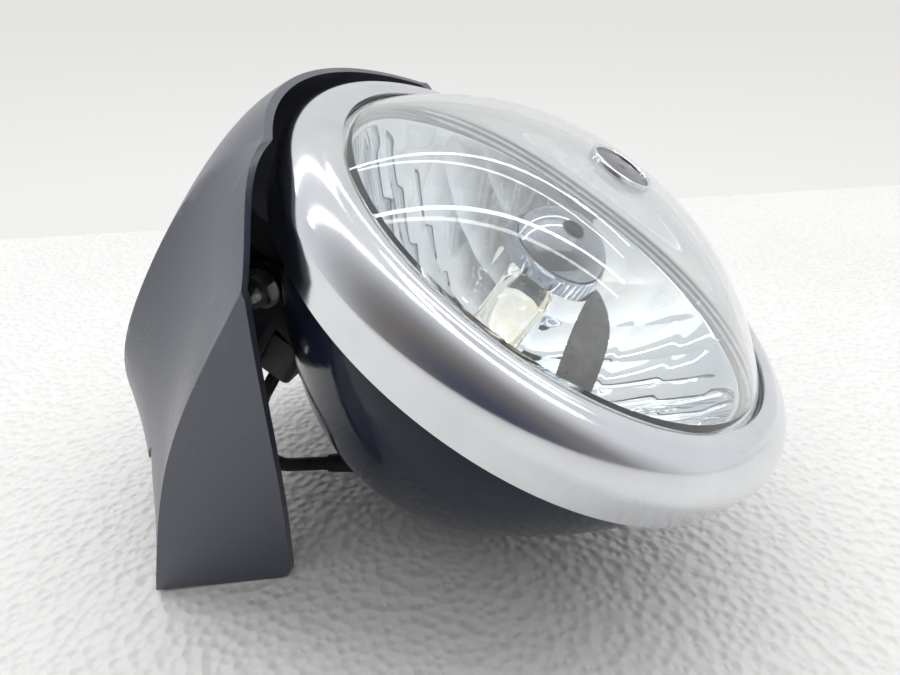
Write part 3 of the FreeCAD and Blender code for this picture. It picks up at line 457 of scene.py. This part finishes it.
def dish_depth(x, z):
    """Paraboloid through rim and neck, y falling with r squared, and troughs (1 - s squared) over flutes and rows."""
    fall = (DISH_NECK_Y - DISH_RIM_Y) / (DISH_RIM ** 2 - DISH_NECK ** 2)
    radius = np.hypot(x, z)
    number = np.clip(np.searchsorted(FLUTE_EDGES, x, side="right") - 1, 0, len(FLUTE_EDGES) - 2)
    start, end = FLUTE_EDGES[number], FLUTE_EDGES[number + 1]
    across = 2 * (x - start) / (end - start) - 1
    upward = 2 * np.mod(z / ROW_HEIGHT, 1.0) - 1
    fade = np.clip((DISH_RIM - radius) / RIM_FADE, 0, 1) * np.clip((radius - DISH_NECK) / NECK_FADE, 0, 1)
    troughs = FLUTE_DEPTH * (1 - across ** 2) + ROW_DEPTH * (1 - upward ** 2)
    return DISH_NECK_Y - fall * (radius ** 2 - DISH_NECK ** 2) + troughs * fade


share = np.linspace(0, 1, FLUTE_COLUMNS, endpoint=False)
starts = (FLUTE_EDGES[:-1, None] + np.diff(FLUTE_EDGES)[:, None] * share).ravel()
columns = np.concatenate([starts, FLUTE_EDGES[-1:]])[:, None]
along = np.linspace(0, 1, POINTS_ALONG)[None, :]
neck_z = np.sqrt(np.clip(DISH_NECK ** 2 - columns ** 2, 0, None))
rim_z = np.sqrt(np.clip(DISH_RIM ** 2 - columns ** 2, 0, None))
z_up = neck_z + along * (rim_z - neck_z)
x_all = columns + 0 * along
halves = [np.stack([x_all, dish_depth(x_all, z_up), AXIS_Z + side * z_up], axis=-1) for side in (1, -1)]
half_faces = grid_faces(*x_all.shape)
dish = make_mesh("faceted_dish", np.concatenate([half.reshape(-1, 3) for half in halves]),
                 np.concatenate([half_faces, half_faces + x_all.size]), smooth_degrees=9.0)
solid = dish.modifiers.new("sheet", "SOLIDIFY")
solid.thickness = DISH_SHEET
solid.offset = -1.0
dress(dish, mirror, "reflector")

# %% [markdown]
# ### The dish's lip
# Outside the mirror the reflector has a pale flat lip with a short skirt, on which the lens sits. It is a turned ring
# of its own, because it has another finish, and it rides on the reflector's body.

# %% Lens seat
LIP_RADIUS = dish_high[0]
LIP_DEPTH = 3.0 * MM
SEAT_GAP = 0.05 * MM
seat_front, seat_rear = dish_low[1] + SEAT_GAP, dish_low[1] + DISH_SHEET
skirt_end = dish_low[1] + LIP_DEPTH
skirt_inside = LIP_RADIUS - DISH_SHEET
seat_profile = np.array([[DISH_RIM, seat_front], [LIP_RADIUS, seat_front], [LIP_RADIUS, skirt_end],
                         [skirt_inside, skirt_end], [skirt_inside, seat_rear], [DISH_RIM, seat_rear]])
seat = turned_piece("lens_seat", seat_profile)
seat.data.materials.append(seat_paint)
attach(seat, BODY_OF["reflector"])
print(seat.name, "faces", len(seat.data.polygons))

# %% [markdown]
# ## Bulb shield and its strut
# A bright drawn cap hides the bulb's tip, so that no light leaves the lamp without meeting the dish. It is turned from
# a profile with an elliptic nose. A flat strut stands on edge below it, where it costs the least light. The strut is
# a polygon in the lamp's middle plane with its corners cut twice, which rounds them, and given a thickness.

# %% Bulb shield
CAP_RADIUS = 15.6 * MM
CAP_FRONT = RING_REAR_Y - 27.5 * MM
CAP_NOSE = 15.0 * MM
CAP_REAR = RING_REAR_Y - 10.5 * MM
CAP_SHEET = 0.8 * MM
CAP_POINTS = 32


def cap_line(radius, front):
    """Quarter ellipse from the pole to the full radius, then straight to the rear edge."""
    turn = np.linspace(0, np.pi / 2, CAP_POINTS)
    nose_end = CAP_FRONT + CAP_NOSE
    nose = np.stack([radius * np.sin(turn), nose_end - (nose_end - front) * np.cos(turn)], axis=1)
    return np.concatenate([nose, [[radius, CAP_REAR]]])


cap_outside = cap_line(CAP_RADIUS, CAP_FRONT)
cap_inside = cap_line(CAP_RADIUS - CAP_SHEET, CAP_FRONT + CAP_SHEET)
cap_profile = np.concatenate([cap_outside, cap_inside[::-1]])
dress(turned_piece("bulb_shield", cap_profile, closed=False, smooth_degrees=40.0), nickel, "shield_cup")

# %% Shield strut
STRUT_HALF = 0.8 * MM
STRUT_OUTLINE = np.array([(-14, -15.2), (-9.5, -15.2), (3, -18.0), (29.0, -27.0), (21.4, -37.0), (4, -31.5),
                          (-7, -26.0)]) * MM


def cut_corners(outline):
    """Each side gives two points, a quarter in from its ends: cut once, a corner is a bevel, twice, nearly round."""
    following = np.roll(outline, -1, axis=0)
    return np.stack([0.75 * outline + 0.25 * following, 0.25 * outline + 0.75 * following], axis=1).reshape(-1, 2)


outline = cut_corners(cut_corners(STRUT_OUTLINE))
count = len(outline)
sides = [np.column_stack([np.full(count, x), RING_REAR_Y + outline[:, 0], AXIS_Z + outline[:, 1]])
         for x in (-STRUT_HALF, STRUT_HALF)]
edge_faces = grid_faces(2, count, wrap_columns=True).tolist()
flat_faces = [list(range(count)), list(range(2 * count - 1, count - 1, -1))]
strut = make_mesh("shield_strut", np.concatenate(sides), edge_faces + flat_faces, smooth_degrees=40.0)
dress(strut, strap_grey, "shield_strap")

# %% [markdown]
# ## Visor
# The casting keeps its CAD shape. A small shading angle keeps its creases sharp while the hollow flanks between them
# shade smoothly. A narrow bevel rounds the rim, which then catches the light as a cast edge does.

# %% Visor
CREASE_DEGREES = 11.0
RIM_WIDTH = 0.8 * MM
RIM_STEPS = 3
RIM_DEGREES = 40.0
visor = smooth_copy("visor", CREASE_DEGREES)
rim = visor.modifiers.new("rim", "BEVEL")
rim.width = RIM_WIDTH
rim.segments = RIM_STEPS
rim.limit_method = "ANGLE"
rim.angle_limit = math.radians(RIM_DEGREES)
dress(visor, visor_paint, "visor")

# %% [markdown]
# ## Everything else
# The other pieces are right as they are. Their triangles only need joining, so that round faces shade smoothly, and
# a finish each.

# %% Dress the other CAD pieces
FINISH_OF = {
    "snap_plug": nylon, "bucket": enamel, "bucket_bracket": bracket_paint, "swivel_knuckle": bracket_paint,
    "clamp_bolt": zinc, "clamp_washer": zinc, "pivot_bolt": zinc, "pivot_nut": zinc, "pivot_washers": zinc,
    "saddle_rivets": zinc, "ring_screw": zinc, "ring_nut": zinc, "medallion_rim": chrome,
    "medallion_disc": medallion_field, "rim_gasket": silicone, "bulb_glass": quartz, "bulb_collar": passivate,
    "bulb_contacts": brass, "bulb_clip": zinc, "bulb_boot": rubber, "bulb_socket": nylon, "strain_relief": rubber,
    "lead": rubber, "lead_connector": nylon,
}
for node, finish in FINISH_OF.items():
    dress(smooth_copy(node), finish, node)

# %% [markdown]
# ## Table
# The lamp lies on a pale, pebbled table. In the lamp's own frame that table leans, so its upright is worked out
# first, and the table touches the lowest point of the object along it. Its far edge is laid where two pixels of the
# picture meet the table's plane.

# %% Table
TABLE_UP = Vector((0.0, -0.856, 0.516)).normalized()
EDGE_PIXEL_LEFT, EDGE_PIXEL_RIGHT = 240, 185
TABLE_HALF_LENGTH, TABLE_DEPTH = 3, 4
ahead = (LOOK - TABLE_UP * LOOK.dot(TABLE_UP)).normalized()
sideways = ahead.cross(TABLE_UP)


def lowest(piece):
    """The least height of a mesh's points along the table's upright."""
    places = np.empty(len(piece.data.vertices) * 3)
    piece.data.vertices.foreach_get("co", places)
    return (places.reshape(-1, 3) @ np.array(TABLE_UP)).min()


def on_table(px, py):
    """The point of the table under a pixel of the picture."""
    across, down = px - PICTURE_WIDTH / 2, py - PICTURE_HEIGHT / 2
    ray = LOOK + right * (across / FOCAL_PIXELS) - up * (down / FOCAL_PIXELS)
    return CAMERA_PLACE + ray * ((table_height - CAMERA_PLACE.dot(TABLE_UP)) / ray.dot(TABLE_UP))


table_height = min(lowest(node) for node in frame["nodes"].values())
far_edge = (on_table(0, EDGE_PIXEL_LEFT), on_table(PICTURE_WIDTH, EDGE_PIXEL_RIGHT))
edge_way = (far_edge[1] - far_edge[0]).normalized()
toward = TABLE_UP.cross(edge_way)
toward = toward if toward.dot(LOOK) < 0 else -toward
far_middle = (far_edge[0] + far_edge[1]) / 2
corners = [far_middle + edge_way * a + toward * b
           for a, b in ((-TABLE_HALF_LENGTH, 0), (TABLE_HALF_LENGTH, 0),
                        (TABLE_HALF_LENGTH, TABLE_DEPTH), (-TABLE_HALF_LENGTH, TABLE_DEPTH))]
mesh = bpy.data.meshes.new("table")
mesh.from_pydata([tuple(corner) for corner in corners], [], [(0, 1, 2, 3)])
if mesh.polygons[0].normal.dot(TABLE_UP) < 0:
    mesh.flip_normals()
table = new_object("table", mesh)
print("table height %.4f, far edge %s" % (table_height, [tuple(round(v, 3) for v in p) for p in far_edge]))

# %% [markdown]
# ### Table top
# The pebbles are rounded cells pressed into the height of the surface. The table is one-sided: seen from below it lets
# light and sight through.

# %% Table top
PEBBLES_PER_METRE = 300.0
PEBBLE_DEPTH = 1.4 * MM
PEBBLE_ROUNDNESS = 0.6
table_top = new_finish("table_top", Roughness=0.45, Specular_IOR_Level=0.16)
mottle(table_top, noise(table_top, 6, 3.0), (0.81, 0.805, 0.785), (0.85, 0.845, 0.825))
nodes, links = table_top.node_tree.nodes, table_top.node_tree.links
cells = nodes.new("ShaderNodeTexVoronoi")
cells.feature = "SMOOTH_F1"
cells.inputs["Scale"].default_value = PEBBLES_PER_METRE
cells.inputs["Smoothness"].default_value = PEBBLE_ROUNDNESS
place = nodes.new("ShaderNodeTexCoord")
links.new(place.outputs["Object"], cells.inputs["Vector"])
bump(table_top, cells.outputs["Distance"], PEBBLE_DEPTH)

see_through = nodes.new("ShaderNodeBsdfTransparent")
facing = nodes.new("ShaderNodeNewGeometry")
choose = nodes.new("ShaderNodeMixShader")
links.new(facing.outputs["Backfacing"], choose.inputs["Fac"])
links.new(nodes["Principled BSDF"].outputs["BSDF"], choose.inputs[1])
links.new(see_through.outputs["BSDF"], choose.inputs[2])
links.new(choose.outputs["Shader"], nodes["Material Output"].inputs["Surface"])
table.data.materials.append(table_top)
print("pebbles per metre:", PEBBLES_PER_METRE)

# %% [markdown]
# ## Room
# Bright metal shows what stands round it. The room is a world colour by direction: dark behind the camera and pale
# ahead of it, and paler on the flanks. The camera itself sees a plain pale backdrop that darkens a little upwards.

# %% Room
world = bpy.data.worlds.new("room")
bpy.context.scene.world = world
world.use_nodes = True
nodes, links = world.node_tree.nodes, world.node_tree.links
BACKDROP_HEIGHTS = (-0.24, -0.04)


def direction_part(way):
    """How far the looked-at direction goes along a given way."""
    place = nodes.new("ShaderNodeTexCoord")
    dot = nodes.new("ShaderNodeVectorMath")
    dot.operation = "DOT_PRODUCT"
    dot.inputs[1].default_value = way
    links.new(place.outputs["Generated"], dot.inputs[0])
    return dot.outputs["Value"]


def room_tones(way, low, high, *stops):
    """A colour by how far the looked-at direction goes along a way, the stops spread from low to high."""
    return tones(world, remap(world, direction_part(way), low, high), *stops)


def mixed(factor, first, second):
    """The first colour where the factor is 0, the second where it is 1."""
    node = nodes.new("ShaderNodeMix")
    node.data_type = "RGBA"
    links.new(factor, node.inputs["Factor"])
    links.new(first, node.inputs["A"])
    links.new(second, node.inputs["B"])
    return node.outputs["Result"]


middle = room_tones(ahead, -1, 1, (0.0, (0.07, 0.08, 0.12)), (0.08, (0.13, 0.13, 0.155)), (0.18, (0.22, 0.20, 0.19)),
                    (0.28, (0.29, 0.285, 0.29)), (0.375, (0.43, 0.435, 0.45)), (0.5, (0.70, 0.71, 0.74)),
                    (0.6, (0.88, 0.89, 0.92)), (0.7, (0.93, 0.94, 0.96)), (1.0, grey(0.80)))
flanks = room_tones(ahead, -1, 1, (0.2, (0.28, 0.275, 0.28)), (0.33, (0.62, 0.625, 0.645)),
                    (0.45, (0.84, 0.85, 0.88)), (1.0, (0.92, 0.92, 0.94)))
aside = room_tones(sideways, -1, 1, (0.06, grey(0.3)), (0.3, grey(0.05)), (0.5, grey(0.0)), (0.7, grey(0.15)),
                   (0.94, grey(1.0)))
walls = mixed(aside, middle, flanks)
backdrop = room_tones(TABLE_UP, *BACKDROP_HEIGHTS, (0.0, (0.89, 0.885, 0.87)), (1.0, (0.775, 0.77, 0.755)))
path = nodes.new("ShaderNodeLightPath")
seen = mixed(path.outputs["Is Camera Ray"], walls, backdrop)
links.new(seen, nodes["Background"].inputs["Color"])
print("room ready")

# %% [markdown]
# ## Lights
# Two long strip lights hang over the lamp and draw the bright lines on the ring and the dome. A wide panel fills the
# shadows. It isn't mirrored in anything, so that only the strips show as lines.

# %% Lights
LAMP_MIDDLE = Vector((0, -0.07, -0.07))
LIGHT_HEIGHT = 1.6
STRIP = (4.5, 0.045)
PANEL = (3.0, 2.4)


def hung_light(name, ahead_by, watts, length, width):
    """A rectangular ceiling light, long across the view, so far ahead of the lamp."""
    data = bpy.data.lights.new(name, "AREA")
    data.shape = "RECTANGLE"
    data.size = length
    data.size_y = width
    data.energy = watts
    light = new_object(name, data)
    light.matrix_world = standing(LAMP_MIDDLE + TABLE_UP * LIGHT_HEIGHT + ahead * ahead_by, sideways, -ahead, TABLE_UP)
    light.visible_camera = False
    print(name, "%.1f W" % watts)
    return light


hung_light("strip_overhead", 0.2, 12.0, *STRIP)
hung_light("strip_ahead", 1.0, 8.5, *STRIP)
hung_light("ceiling_fill", -0.6, 16.0, *PANEL).visible_glossy = False
